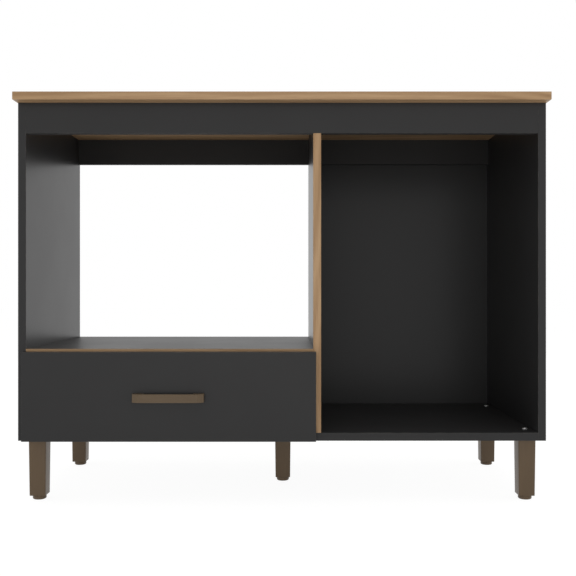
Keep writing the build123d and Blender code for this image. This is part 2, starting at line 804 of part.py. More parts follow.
with BuildPart() as drawer_side_right:
    slab(box_inner_right, box_right, front_board_back, box_back, box_low, box_high)
    slab(box_inner_right, box_inner_right + drawer_groove_depth, front_board_back, box_back,
         groove_low, groove_high, Mode.SUBTRACT)
    bore_cam_pockets(right_box_cams, drawer_side_thickness)
    drill_slide_screws(right_box_screws)
    place(back_screw_hole, right_back_screws, Mode.SUBTRACT)

# Drawer back, which stands on the drawer bottom
with BuildPart() as drawer_back:
    slab(box_inner_left, box_inner_right, box_back - drawer_side_thickness, box_back,
         drawer_back_low, box_high)
    drill(left_back_screws + right_back_screws, back_screw_radius + fit, back_screw_length + hole_bottom_room)
    drill_nails(drawer_bottom_nail_seats)

# Drawer bottom, held in the grooves
with BuildPart() as drawer_bottom:
    slab(box_inner_left - drawer_bottom_edge, box_inner_right + drawer_bottom_edge,
         front_board_back - drawer_bottom_edge, box_back, groove_low, drawer_back_low)
    drill_nails(drawer_bottom_nail_seats)

# Pull handle: a bar that bows out from two end legs
bar_half = handle_length / 2
slope_start = bar_half - handle_slope
leg_inner = bar_half - handle_leg
bar_back = handle_reach - handle_bar
handle_low = handle_middle_height - handle_height / 2
handle_plane = Plane(origin=(drawer_centre, front_board_face, handle_low), x_dir=to_left, z_dir=upwards)
with BuildPart() as drawer_handle:
    with BuildSketch(handle_plane) as bow:
        with BuildLine():
            Polyline((-bar_half, 0), (-bar_half, handle_end_reach), (-slope_start, handle_reach),
                     (slope_start, handle_reach), (bar_half, handle_end_reach), (bar_half, 0), (leg_inner, 0),
                     (leg_inner, bar_back), (-leg_inner, bar_back), (-leg_inner, 0), close=True)
        make_face()
    extrude(bow.sketch, amount=handle_height)
    inner_corners = drawer_handle.edges().filter_by(Axis.Z).filter_by(
        lambda edge: abs(abs(edge.center().X - drawer_centre) - leg_inner) < handle_rounding
        and edge.center().Y < front_board_face - handle_rounding
    )
    fillet(inner_corners, handle_inner_rounding)
    outer_corners = drawer_handle.edges().filter_by(Axis.Z).filter_by(
        lambda edge: abs(edge.center().X - drawer_centre) > slope_start - handle_rounding
        and edge.center().Y < front_board_face - handle_rounding
    )
    fillet(outer_corners, handle_outer_rounding)
    rim_edges = drawer_handle.edges().filter_by(
        lambda edge: edge.center().Y < front_board_face - handle_end_reach / 2
    ).filter_by(Plane.XY)
    outer_rim = rim_edges.filter_by(
        lambda edge: edge.center().Y < front_board_face - bar_back - handle_rounding
        or abs(edge.center().X - drawer_centre) > slope_start
    )
    fillet(outer_rim, handle_rounding)
    drill(handle_screw_seats, handle_screw_radius + fit,
          drawer_front_thickness + handle_screw_grip + hole_bottom_room)

# Drawer fasteners
handle_screw = dome_screw(handle_screw_head_radius, handle_screw_head_height, handle_screw_radius,
                          drawer_front_thickness + handle_screw_grip)
with BuildPart() as handle_screws:
    place(handle_screw, handle_screw_seats)

with BuildPart() as drawer_cam_fittings:
    place(cam_fitting(drawer_side_thickness), box_cams)

with BuildPart() as drawer_cam_bolts:
    place(cam_bolt, [along(joint) for joint in box_cams])

back_screw = flush_screw(back_screw_head_radius, back_screw_head_height, back_screw_radius, back_screw_length)
with BuildPart() as drawer_back_screws:
    place(back_screw, left_back_screws + right_back_screws)

with BuildPart() as drawer_bottom_nails:
    place(nail, drawer_bottom_nail_seats)


# Slide cross-sections: X runs out from the wall, Y runs up from the slide's centre line
def slide_plane(wall, out, start):
    return Plane(origin=(wall, start, box_middle_height), x_dir=(out, 0, 0), z_dir=(0, -out, 0))


# A rolled strip with its web upright and its two edges turned out towards the rim, and in again by a lip
def rolled_strip(plane, web, rim, reach, lip, steel):
    corners = [(rim, -reach), (web, -reach), (web, reach), (rim, reach)]
    if lip:
        corners = [(rim, lip - reach)] + corners + [(rim, reach - lip)]
    with BuildSketch(plane) as section:
        with BuildLine():
            FilletPolyline(*corners, radius=slide_bend)
        trace(line_width=steel)
    return section.sketch


half_steel = slide_steel / 2
wall_member_reach = slide_height / 2 - half_steel
outer_track = wall_member_reach - half_steel - 2 * (outer_ball_radius + ball_room)
middle_reach = outer_track - half_steel
inner_track = middle_reach - half_steel - 2 * (inner_ball_radius + ball_room)
drawer_member_reach = inner_track - half_steel
outer_ball_line = outer_track + outer_ball_radius + ball_room
inner_ball_line = inner_track + inner_ball_radius + ball_room
lip_path = slide_lip - half_steel
outer_cage_web = (slide_steel + middle_rise) / 2
inner_cage_web = middle_rise + slide_steel + cage_gap + cage_steel / 2
outer_cage_rim = slide_rim - slide_steel - cage_rim_room
inner_cage_rim = middle_rim - slide_steel - cage_rim_room
outer_ball_out = (middle_rise + slide_rim - slide_steel) / 2
inner_ball_out = (drawer_member_rim + inner_cage_rim) / 2
cage_front = slide_front + (slide_length - cage_length) / 2
ball_rows = spaced(cage_front + cage_end_margin, cage_front + cage_length - cage_end_margin, cage_ball_pitch)

slide_screw_sizes = (slide_screw_head_radius, slide_steel, slide_screw_radius, slide_screw_length)
slide_screw = flush_screw(*slide_screw_sizes)
slide_screw_hole = flush_screw(*slide_screw_sizes, grow=fit)

for side, wall, out, wall_seats, box_seats in (
    ("left", inner_left, 1, left_wall_screws, left_box_screws),
    ("right", divider_left, -1, right_wall_screws, right_box_screws),
):
    plane = slide_plane(wall, out, slide_front)

    with BuildPart() as cabinet_member:
        section = rolled_strip(plane, half_steel, slide_rim - half_steel, wall_member_reach,
                               lip_path, slide_steel)
        extrude(section, amount=slide_length, dir=to_back)
        place(slide_screw_hole, wall_seats, Mode.SUBTRACT)
    cabinet_member.part.label = f"slide_cabinet_member_{side}"
    export_step(cabinet_member.part, f"parts/slide_cabinet_member_{side}.step")

    with BuildPart() as middle_member:
        section = rolled_strip(plane, middle_rise + half_steel, middle_rim - half_steel, middle_reach,
                               lip_path, slide_steel)
        extrude(section, amount=slide_length, dir=to_back)
    middle_member.part.label = f"slide_middle_member_{side}"
    export_step(middle_member.part, f"parts/slide_middle_member_{side}.step")

    with BuildPart() as drawer_member:
        section = rolled_strip(plane, slide_room - half_steel, drawer_member_rim, drawer_member_reach,
                               0, slide_steel)
        extrude(section, amount=slide_length, dir=to_back)
        place(slide_screw_hole, box_seats, Mode.SUBTRACT)
    drawer_member.part.label = f"slide_drawer_member_{side}"
    export_step(drawer_member.part, f"parts/slide_drawer_member_{side}.step")

    for row, web, rim_end, line, ball_out, radius in (
        ("outer", outer_cage_web, outer_cage_rim, outer_ball_line, outer_ball_out, outer_ball_radius),
        ("inner", inner_cage_web, inner_cage_rim, inner_ball_line, inner_ball_out, inner_ball_radius),
    ):
        ball_x = wall + out * ball_out
        with BuildPart() as ball_cage:
            section = rolled_strip(slide_plane(wall, out, cage_front), web, rim_end, line, 0, cage_steel)
            extrude(section, amount=cage_length, dir=to_back)
            top_row = [(ball_x, y, box_middle_height + line) for y in ball_rows]
            bottom_row = [(ball_x, y, box_middle_height - line) for y in ball_rows]
            with Locations(*top_row, *bottom_row):
                Cylinder(radius + cage_hole_room, 2 * radius, mode=Mode.SUBTRACT)
                Sphere(radius)
        ball_cage.part.label = f"ball_cage_{row}_{side}"
        export_step(ball_cage.part, f"parts/ball_cage_{row}_{side}.step")

with BuildPart() as slide_wall_screws:
    place(slide_screw, wall_screws)

with BuildPart() as slide_box_screws:
    place(slide_screw, box_screws)

drawer_pieces = {
    "drawer_front": drawer_front,
    "drawer_side_left": drawer_side_left,
    "drawer_side_right": drawer_side_right,
    "drawer_back": drawer_back,
    "drawer_bottom": drawer_bottom,
    "drawer_handle": drawer_handle,
    "handle_screws": handle_screws,
    "drawer_cam_fittings": drawer_cam_fittings,
    "drawer_cam_bolts": drawer_cam_bolts,
    "drawer_back_screws": drawer_back_screws,
    "drawer_bottom_nails": drawer_bottom_nails,
    "slide_wall_screws": slide_wall_screws,
    "slide_box_screws": slide_box_screws,
}
for label, piece in drawer_pieces.items():
    piece.part.label = label
    export_step(piece.part, f"parts/{label}.step")
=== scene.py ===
from math import radians

import bmesh
import bpy
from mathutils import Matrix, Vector


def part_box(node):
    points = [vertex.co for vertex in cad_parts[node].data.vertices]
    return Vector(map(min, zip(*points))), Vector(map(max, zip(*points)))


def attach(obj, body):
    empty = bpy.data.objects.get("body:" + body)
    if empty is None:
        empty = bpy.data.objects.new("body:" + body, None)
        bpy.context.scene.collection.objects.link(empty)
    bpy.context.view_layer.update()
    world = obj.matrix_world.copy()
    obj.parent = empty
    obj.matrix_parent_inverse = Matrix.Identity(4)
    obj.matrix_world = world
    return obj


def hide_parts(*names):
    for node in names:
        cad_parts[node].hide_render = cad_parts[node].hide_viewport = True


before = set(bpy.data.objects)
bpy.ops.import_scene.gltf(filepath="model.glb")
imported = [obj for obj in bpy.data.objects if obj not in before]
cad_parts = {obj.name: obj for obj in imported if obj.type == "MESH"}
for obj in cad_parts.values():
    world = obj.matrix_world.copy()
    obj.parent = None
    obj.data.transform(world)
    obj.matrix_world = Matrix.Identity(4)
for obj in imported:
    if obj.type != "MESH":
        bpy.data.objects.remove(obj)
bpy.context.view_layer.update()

mm = 0.001    # in metres
print("frame loaded,", len(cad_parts), "nodes")


# Camera, where the photograph was taken from
camera = {
    "spot": (0.017, -2.0229, 0.48725),
    "lens": 49.9,
    "sensor": 36,
    "shift": (-0.00266, 0.00189),
    "nearest": 0.01,
    "farthest": 200,
}
bpy.ops.object.select_all(action="DESELECT")
bpy.ops.object.camera_add(location=camera["spot"], rotation=(radians(90), 0, 0))
photoCamera = bpy.context.object
photoCamera.name = "photoCamera"
photoCamera.data.lens = camera["lens"]
photoCamera.data.sensor_width = camera["sensor"]
photoCamera.data.shift_x, photoCamera.data.shift_y = camera["shift"]
photoCamera.data.clip_start = camera["nearest"]
photoCamera.data.clip_end = camera["farthest"]
bpy.context.scene.camera = photoCamera
bpy.context.scene.view_settings.view_transform = "Standard"
print("camera placed")


# Helpers for shader nodes
def put(tree, kind, sockets=None, **settings):    # a node, each socket given a value or a link
    node = tree.nodes.new("ShaderNode" + kind)
    for key, value in settings.items():
        setattr(node, key, value)
    for key, value in (sockets or {}).items():
        if isinstance(value, bpy.types.NodeSocket):
            tree.links.new(value, node.inputs[key])
        else:
            node.inputs[key].default_value = value
    return node


def wire(tree, value, shader, key):
    tree.links.new(value, shader.inputs[key])


def calc(tree, operation, a, b=0.0):
    return put(tree, "Math", {0: a, 1: b}, operation=operation).outputs[0]


def fade(tree, value, low, high, start=0.0, end=1.0):    # smooth step between two readings
    sockets = {"Value": value, "From Min": low, "From Max": high, "To Min": start, "To Max": end}
    return put(tree, "MapRange", sockets, interpolation_type="SMOOTHSTEP").outputs[0]


def tint(tree, factor, a, b, kind="MIX"):    # sockets 6 and 7 hold the two colours
    return put(tree, "Mix", {0: factor, 6: a, 7: b}, data_type="RGBA", blend_type=kind).outputs[2]


def drawnOut(along, share, across=1.0):    # a pattern's scale along one axis and across it
    return tuple(share if axis == along else across for axis in "xyz")


# Noise whose patches are longer along one axis, where share is under 1
def grain(tree, place, scale, along="x", share=1.0, detail=3.0, rough=0.55, twist=0.0):
    spot = put(tree, "Mapping", {"Vector": place, "Scale": drawnOut(along, share)}).outputs[0]
    sockets = {"Vector": spot, "Scale": scale, "Detail": detail, "Roughness": rough, "Distortion": twist}
    return put(tree, "TexNoise", sockets).outputs[0]


def relief(tree, height, depth):
    return put(tree, "Bump", {"Height": height, "Strength": 1.0, "Distance": depth}).outputs[0]


def emptyTree(owner):    # the nodes of a material or of the world, with nothing in them yet
    owner.use_nodes = True
    owner.node_tree.nodes.clear()
    return owner.node_tree


def newFinish(name):
    finish = bpy.data.materials.new(name)
    tree = emptyTree(finish)
    place = put(tree, "TexCoord").outputs["Object"]
    shader = put(tree, "BsdfPrincipled")
    put(tree, "OutputMaterial", {0: shader.outputs[0]})
    return finish, tree, place, shader


# Studio: a pale floor, white surroundings and soft lamps all round, in metres and watts
studio = {
    "white": (1, 1, 1, 1),
    "skyStrength": 0.40,
    "floorSize": 30.0,
    "floorColour": (0.90, 0.90, 0.89, 1),
    "floorGlow": 1.14,
    "floorGlowShare": 0.82,
    "lamps": {
        "front": {"spot": (0.1, -3.6, 0.85), "aim": (0, 0, 0.62), "size": (3.0, 1.6), "power": 26},
        "lowFront": {"spot": (0.0, -3.4, 0.22), "aim": (0, 0, 0.12), "size": (3.0, 0.36), "power": 7},
        "left": {"spot": (-3.8, 0.0, 0.95), "aim": (0, 0, 0.55), "size": (3.0, 1.7), "power": 24},
        "right": {"spot": (3.8, 0.0, 0.95), "aim": (0, 0, 0.55), "size": (3.0, 1.7), "power": 24},
        "back": {"spot": (0.0, 3.8, 0.95), "aim": (0, 0, 0.55), "size": (3.0, 1.7), "power": 26},
        "overhead": {"spot": (0.0, -0.6, 4.2), "aim": (0, -0.2, 0), "size": (4.0, 3.0), "power": 28},
        "lyingInFront": {"spot": (0.0, -1.5, 0.01), "aim": (0, -1.5, 1.0), "size": (5.0, 2.0), "power": 13},
    },
}


def seenDirectly(tree):    # camera, mirror-like and see-through rays find the white background
    path = put(tree, "LightPath")
    both = calc(tree, "MAXIMUM", path.outputs["Is Camera Ray"], path.outputs["Is Glossy Ray"])
    return calc(tree, "MAXIMUM", both, path.outputs["Is Transmission Ray"])


world = bpy.data.worlds.new("whiteSurroundings")
bpy.context.scene.world = world
skyTree = emptyTree(world)
skyLight = put(skyTree, "Background", {0: studio["white"], 1: studio["skyStrength"]}).outputs[0]
skyWhite = put(skyTree, "Background", {0: studio["white"], 1: 1.0}).outputs[0]
skyMix = put(skyTree, "MixShader", {0: seenDirectly(skyTree), 1: skyLight, 2: skyWhite}).outputs[0]
put(skyTree, "OutputWorld", {0: skyMix})

bpy.ops.object.select_all(action="DESELECT")
bpy.ops.mesh.primitive_plane_add(size=studio["floorSize"], location=(0, 0, 0))
floor = bpy.context.object
floor.name = "paleFloor"
floorFinish = bpy.data.materials.new("paleFloorPaint")
floorTree = emptyTree(floorFinish)
floorPaint = put(floorTree, "BsdfDiffuse", {0: studio["floorColour"]}).outputs[0]
floorGlow = put(floorTree, "Emission", {0: studio["white"], 1: studio["floorGlow"]}).outputs[0]
glowShare = calc(floorTree, "MULTIPLY", seenDirectly(floorTree), studio["floorGlowShare"])
floorMix = put(floorTree, "MixShader", {0: glowShare, 1: floorPaint, 2: floorGlow}).outputs[0]
put(floorTree, "OutputMaterial", {0: floorMix})
floor.data.materials.append(floorFinish)

for side, lamp in studio["lamps"].items():
    bpy.ops.object.light_add(type="AREA", location=lamp["spot"])
    softBox = bpy.context.object
    softBox.name = "softBox_" + side
    softBox.data.shape = "RECTANGLE"
    softBox.data.size, softBox.data.size_y = lamp["size"]
    softBox.data.energy = lamp["power"]
    softBox.visible_camera = False
    softBox.visible_glossy = False    # gloss shows the white surroundings alone
    aim = Vector(lamp["aim"]) - Vector(lamp["spot"])
    softBox.rotation_euler = aim.to_track_quat("-Z", "Y").to_euler()
print("studio ready")


# Laminated board: its decor, its edge band's seam, worn arrises with a painted highlight on them, and raw
# chipboard on bare edges and in holes
blackLaminate = {
    "colour": (0.0268, 0.0264, 0.0266, 1),
    "light": (0.0284, 0.0280, 0.0280, 1),
    "roughness": (0.285, 0.305),
    "ior": 1.27,
    "textureDepth": 0.004 * mm,
    "fleck": 0.06,
    # pale colour of the flecks, and of the arris wear with a painted highlight on it
    "wearAndHighlight": (0.105, 0.098, 0.088, 1),
    "wearAndHighlightWidth": 0.9 * mm,
    "bandThickness": 0.6 * mm,
    "seamWidth": 0.09 * mm,
    "seamColour": (0.006, 0.006, 0.006, 1),
}
shelfLaminate = {**blackLaminate, "roughness": (0.41, 0.44)}
greyLaminate = {
    "colour": (0.046, 0.044, 0.043, 1),
    "light": (0.056, 0.054, 0.052, 1),
    "roughness": (0.36, 0.44),
    "ior": 1.35,
    "textureDepth": 0.012 * mm,
    "fleck": 0.15,
    "wearAndHighlight": (0.16, 0.145, 0.12, 1),
    "wearAndHighlightWidth": 0.8 * mm,
    "bandThickness": 0.5 * mm,
    "seamWidth": 0.09 * mm,
    "seamColour": (0.012, 0.012, 0.012, 1),
}
boardPattern = {
    "cloud": {"scale": 5.5, "detail": 4, "rough": 0.6},
    "cloudRange": (0.3, 0.72),
    "fleck": {"scale": 1500, "detail": 2, "rough": 0.6},
    "fleckRange": (0.6, 0.8),
    "leather": {"scale": 700, "detail": 3, "rough": 0.5, "twist": 0.6},
    "arrisWearAndHighlight": {"scale": 38, "detail": 5, "rough": 0.65},
    "arrisWearAndHighlightRange": (0.42, 0.68),
    "wearAndHighlightCore": 0.15,    # share of the worn width where the wear and the painted highlight are strongest
    "wearAndHighlightStrength": 0.85,
    "seamStrength": 0.8,
    "skin": (0.02 * mm, 0.04 * mm),    # a point this near to a side lies on it
    "holeDepth": (0.65 * mm, 0.85 * mm),    # hole walls lie deeper than any outer face
    "smudge": {"scale": 7, "detail": 3, "rough": 0.5},
    "smudgeRange": (0.3, 0.7),
    "bareDullness": 0.5,
}
chipboard = {
    "chips": 520.0,
    "chipRange": (0.15, 0.75),
    "paleChip": (0.47, 0.33, 0.19, 1),
    "darkChip": (0.26, 0.16, 0.08, 1),
    "dust": {"scale": 1900, "detail": 4},
    "dustRange": (0.35, 0.7),
    "dustColour": (0.55, 0.42, 0.27, 1),
}


def boxReach(tree, place, low, high):    # how far a point lies from each of the six sides
    parts = put(tree, "SeparateXYZ", {0: place})
    reach = {}
    for number, axis in enumerate("xyz"):
        here = parts.outputs[number]
        reach[axis + "-"] = calc(tree, "ABSOLUTE", calc(tree, "SUBTRACT", here, low[number]))
        reach[axis + "+"] = calc(tree, "ABSOLUTE", calc(tree, "SUBTRACT", here, high[number]))
    return reach


def chipColour(tree, place):    # raw chipboard
    chips = put(tree, "TexVoronoi", {"Vector": place, "Scale": chipboard["chips"], "Randomness": 1.0})
    dust = grain(tree, place, **chipboard["dust"])
    depth = fade(tree, chips.outputs["Distance"], *chipboard["chipRange"])
    chip = tint(tree, depth, chipboard["paleChip"], chipboard["darkChip"])
    return tint(tree, fade(tree, dust, *chipboard["dustRange"]), chip, chipboard["dustColour"])


# Sides are named by their axis and end, such as "y-" for the front; "y- x-" is the arris between two of them
def boardFinish(node, look=blackLaminate, wearAndHighlight=(), bands=(), raw=(), matt=()):
    finish, tree, place, shader = newFinish(node + "Laminate")
    pattern = boardPattern
    low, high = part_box(node)
    reach = boxReach(tree, place, low, high)

    def withSides(mask, sides):
        for side in sides:
            mask = calc(tree, "MAXIMUM", mask, fade(tree, reach[side], *pattern["skin"], 1.0, 0.0))
        return mask

    cloud = grain(tree, place, **pattern["cloud"])
    fleck = grain(tree, place, **pattern["fleck"])
    leather = grain(tree, place, **pattern["leather"])
    colour = tint(tree, fade(tree, cloud, *pattern["cloudRange"]), look["colour"], look["light"])
    colour = tint(tree, fade(tree, fleck, *pattern["fleckRange"], 0.0, look["fleck"]), colour, look["wearAndHighlight"])
    for side in bands:
        gap = calc(tree, "ABSOLUTE", calc(tree, "SUBTRACT", reach[side], look["bandThickness"]))
        seam = fade(tree, gap, look["seamWidth"] / 2, look["seamWidth"], pattern["seamStrength"], 0.0)
        colour = tint(tree, seam, colour, look["seamColour"])
    nearest = None
    for arris in wearAndHighlight:
        first, second = arris.split()
        edge = calc(tree, "MAXIMUM", reach[first], reach[second])
        nearest = calc(tree, "MINIMUM", nearest, edge) if nearest else edge
    # arrises: real wear mixed with a painted highlight, strongest at the arris and broken into patches
    if nearest:
        core = pattern["wearAndHighlightCore"] * look["wearAndHighlightWidth"]
        arrisWearAndHighlight = fade(tree, nearest, core, look["wearAndHighlightWidth"], pattern["wearAndHighlightStrength"], 0.0)
        patches = fade(tree, grain(tree, place, **pattern["arrisWearAndHighlight"]), *pattern["arrisWearAndHighlightRange"])
        colour = tint(tree, calc(tree, "MULTIPLY", arrisWearAndHighlight, patches), colour, look["wearAndHighlight"])
    deepest = reach["x-"]
    for side in ("x+", "y-", "y+", "z-", "z+"):
        deepest = calc(tree, "MINIMUM", deepest, reach[side])
    bare = withSides(fade(tree, deepest, *pattern["holeDepth"]), raw)
    wire(tree, tint(tree, bare, colour, chipColour(tree, place)), shader, "Base Color")
    smudge = grain(tree, place, **pattern["smudge"])
    gloss = fade(tree, smudge, *pattern["smudgeRange"], *look["roughness"])
    dull = calc(tree, "MULTIPLY", withSides(bare, matt), pattern["bareDullness"])
    wire(tree, calc(tree, "ADD", gloss, dull), shader, "Roughness")
    wire(tree, relief(tree, leather, look["textureDepth"]), shader, "Normal")
    shader.inputs["IOR"].default_value = look["ior"]
    return finish


# Wood, printed or real, whose grain runs along one axis, with painted shade over it where asked
oakLook = {
    "dark": (0.310, 0.188, 0.096, 1),
    "middle": (0.385, 0.243, 0.130, 1),
    "light": (0.450, 0.293, 0.163, 1),
    "pore": (0.190, 0.110, 0.054, 1),
    "roughness": (0.38, 0.48),
    "ior": 1.33,
    "poreDepth": 0.02 * mm,
}
beechLook = {
    **oakLook,
    "dark": (0.44, 0.29, 0.15, 1),
    "middle": (0.56, 0.39, 0.22, 1),
    "light": (0.66, 0.48, 0.30, 1),
    "pore": (0.30, 0.18, 0.09, 1),
}
woodPattern = {
    "figure": {"scale": 14.0, "share": 0.07, "detail": 4, "rough": 0.55, "twist": 0.6},
    "figureWeight": 0.75,    # the rings have the rest
    "ringStretch": (0.28, 7.0),
    "ringDrift": {"scale": 2.2, "share": 0.30, "detail": 2},
    "rings": {"Scale": 4.2, "Distortion": 3.2, "Detail": 3.0, "Detail Scale": 1.1, "Detail Roughness": 0.55},
    "middleRange": (0.34, 0.52),
    "lightRange": (0.50, 0.72),
    "fibre": {"scale": 330, "share": 0.035, "detail": 3, "rough": 0.6},
    "fibreRange": (0.30, 0.72),
    "fibreStrength": 0.45,
    "fibreRelief": 0.35,
    "hair": {"scale": 1300, "share": 0.02, "detail": 2, "rough": 0.6},
    "hairRange": (0.55, 0.80),
    "hairStrength": 0.35,
    "pores": {"scale": 760, "share": 0.022, "detail": 2, "rough": 0.7, "twist": 0.2},
    "poreRange": (0.62, 0.74),
    "poreStrength": 0.55,
    "glossRange": (0.3, 0.7),
}


def woodFinish(name, along, look=oakLook, paintedShade=1.0):
    finish, tree, place, shader = newFinish(name)
    pattern = woodPattern
    figure = grain(tree, place, along=along, **pattern["figure"])
    stretch = drawnOut(along, *pattern["ringStretch"])
    stretched = put(tree, "Mapping", {"Vector": place, "Scale": stretch}).outputs[0]
    drift = grain(tree, place, along=along, **pattern["ringDrift"])
    bent = put(tree, "VectorMath", {0: stretched, 1: drift}, operation="ADD").outputs[0]
    rings = put(tree, "TexWave", {"Vector": bent, **pattern["rings"]}, wave_type="BANDS",
                bands_direction="DIAGONAL", wave_profile="SIN").outputs["Fac"]
    fibre = grain(tree, place, along=along, **pattern["fibre"])
    hair = grain(tree, place, along=along, **pattern["hair"])
    pores = fade(tree, grain(tree, place, along=along, **pattern["pores"]), *pattern["poreRange"])
    flow = calc(tree, "ADD", calc(tree, "MULTIPLY", figure, pattern["figureWeight"]),
                calc(tree, "MULTIPLY", rings, 1 - pattern["figureWeight"]))
    colour = tint(tree, fade(tree, flow, *pattern["middleRange"]), look["dark"], look["middle"])
    colour = tint(tree, fade(tree, flow, *pattern["lightRange"]), colour, look["light"])
    darker = fade(tree, fibre, *pattern["fibreRange"], pattern["fibreStrength"], 0.0)
    colour = tint(tree, darker, colour, look["dark"])
    lighter = fade(tree, hair, *pattern["hairRange"], 0.0, pattern["hairStrength"])
    colour = tint(tree, lighter, colour, look["light"])
    colour = tint(tree, calc(tree, "MULTIPLY", pores, pattern["poreStrength"]), colour, look["pore"])
    # painted shade: the whole colour is darkened by one factor
    if paintedShade != 1.0:
        colour = tint(tree, 1.0, colour, (paintedShade, paintedShade, paintedShade, 1), "MULTIPLY")
    wire(tree, colour, shader, "Base Color")
    smooth, dull = look["roughness"]
    wire(tree, fade(tree, figure, *pattern["glossRange"], dull, smooth), shader, "Roughness")
    height = calc(tree, "SUBTRACT", calc(tree, "MULTIPLY", fibre, pattern["fibreRelief"]), pores)
    wire(tree, relief(tree, height, look["poreDepth"]), shader, "Normal")
    shader.inputs["IOR"].default_value = look["ior"]
    return finish


# Thin hardboard: painted black inside, raw brown fibre on its back and its cut edges
hardboard = {
    "paint": (0.0268, 0.0264, 0.0265, 1),
    "paintLight": (0.0284, 0.0280, 0.0279, 1),
    "paintRoughness": (0.285, 0.305),
    "paintRange": (0.3, 0.7),
    "paintDepth": (0.05 * mm, 0.10 * mm),    # how far the paint reaches from the inner face
    "rawDark": (0.105, 0.060, 0.033, 1),
    "rawLight": (0.215, 0.135, 0.078, 1),
    "rawDullness": 0.45,
    "ior": 1.27,
    "cloud": {"scale": 6, "detail": 4, "rough": 0.6},
    "cloudRange": (0.3, 0.75),
    "cloudStrength": 0.35,
    "fibre": {"scale": 620, "detail": 4, "rough": 0.6, "twist": 0.5},
    "fibreRange": (0.36, 0.66),
    "fibreRelief": 0.04,
    "screen": {"Scale": 420.0, "Distortion": 0.6},    # the press screen's weave in the back
    "screenDepth": 0.05 * mm,
}


def hardboardFinish(node):
    finish, tree, place, shader = newFinish(node + "Hardboard")
    look = hardboard
    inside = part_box(node)[0].y
    depth = put(tree, "SeparateXYZ", {0: place}).outputs["Y"]
    rawSide = fade(tree, depth, *(inside + reach for reach in look["paintDepth"]))
    cloud = grain(tree, place, **look["cloud"])
    fibre = grain(tree, place, **look["fibre"])
    paint = tint(tree, fade(tree, cloud, *look["paintRange"]), look["paint"], look["paintLight"])
    raw = tint(tree, fade(tree, fibre, *look["fibreRange"]), look["rawDark"], look["rawLight"])
    raw = tint(tree, fade(tree, cloud, *look["cloudRange"], 0.0, look["cloudStrength"]), raw, look["rawDark"])
    wire(tree, tint(tree, rawSide, paint, raw), shader, "Base Color")
    gloss = fade(tree, cloud, *look["paintRange"], *look["paintRoughness"])
    dull = calc(tree, "MULTIPLY", rawSide, look["rawDullness"])
    wire(tree, calc(tree, "ADD", gloss, dull), shader, "Roughness")
    warp, weft = [put(tree, "TexWave", {"Vector": place, **look["screen"]}, wave_type="BANDS",
                      bands_direction=way).outputs["Fac"] for way in "XZ"]
    screen = calc(tree, "MULTIPLY", calc(tree, "MULTIPLY", warp, weft), rawSide)
    height = calc(tree, "ADD", calc(tree, "MULTIPLY", fibre, look["fibreRelief"]), screen)
    wire(tree, relief(tree, height, look["screenDepth"]), shader, "Normal")
    shader.inputs["IOR"].default_value = look["ior"]
    return finish


# Moulded plastic with a fine spark-eroded texture, faint flow marks and paler rubbed arrises
footPlasticLook = {
    "along": "z",
    "colour": (0.104, 0.067, 0.035, 1),
    "light": (0.115, 0.075, 0.040, 1),
    "rubbed": (0.160, 0.122, 0.084, 1),
    "roughness": (0.36, 0.44),
    "ior": 1.42,
    "textureDepth": 0.012 * mm,
}
handlePlasticLook = {
    "along": "x",
    "colour": (0.091, 0.059, 0.030, 1),
    "light": (0.100, 0.066, 0.034, 1),
    "rubbed": (0.180, 0.140, 0.100, 1),
    "roughness": (0.30, 0.37),
    "ior": 1.42,
    "textureDepth": 0.006 * mm,
}
plasticPattern = {
    "cloud": {"scale": 24, "share": 0.35, "detail": 4, "rough": 0.6},
    "cloudRange": (0.3, 0.7),
    "flow": {"scale": 260, "share": 0.04, "detail": 2},
    "flowRange": (0.55, 0.8),
    "flowStrength": 0.10,
    "spark": {"scale": 1500, "detail": 2, "rough": 0.6},
    "sparkRange": (0.3, 0.7),
    "arrisWidth": 0.8 * mm,
    "arrisRange": (0.90, 0.995),    # cosine between the rounded and the real normal
    "arrisStrength": 0.6,
    "rubRange": (0.4, 0.65),
}


def plasticFinish(name, look):
    finish, tree, place, shader = newFinish(name)
    pattern = plasticPattern
    cloud = grain(tree, place, along=look["along"], **pattern["cloud"])
    spark = grain(tree, place, **pattern["spark"])
    flow = grain(tree, place, along=look["along"], **pattern["flow"])
    colour = tint(tree, fade(tree, cloud, *pattern["cloudRange"]), look["colour"], look["light"])
    marks = fade(tree, flow, *pattern["flowRange"], 0.0, pattern["flowStrength"])
    colour = tint(tree, marks, colour, look["rubbed"])
    rounded = put(tree, "Bevel", {"Radius": pattern["arrisWidth"]}, samples=4).outputs[0]
    face = put(tree, "NewGeometry").outputs["Normal"]
    turn = put(tree, "VectorMath", {0: rounded, 1: face}, operation="DOT_PRODUCT").outputs["Value"]
    arris = fade(tree, turn, *pattern["arrisRange"], pattern["arrisStrength"], 0.0)
    rub = calc(tree, "MULTIPLY", arris, fade(tree, cloud, *pattern["rubRange"]))
    wire(tree, tint(tree, rub, colour, look["rubbed"]), shader, "Base Color")
    wire(tree, fade(tree, spark, *pattern["sparkRange"], *look["roughness"]), shader, "Roughness")
    wire(tree, relief(tree, spark, look["textureDepth"]), shader, "Normal")
    shader.inputs["IOR"].default_value = look["ior"]
    return finish


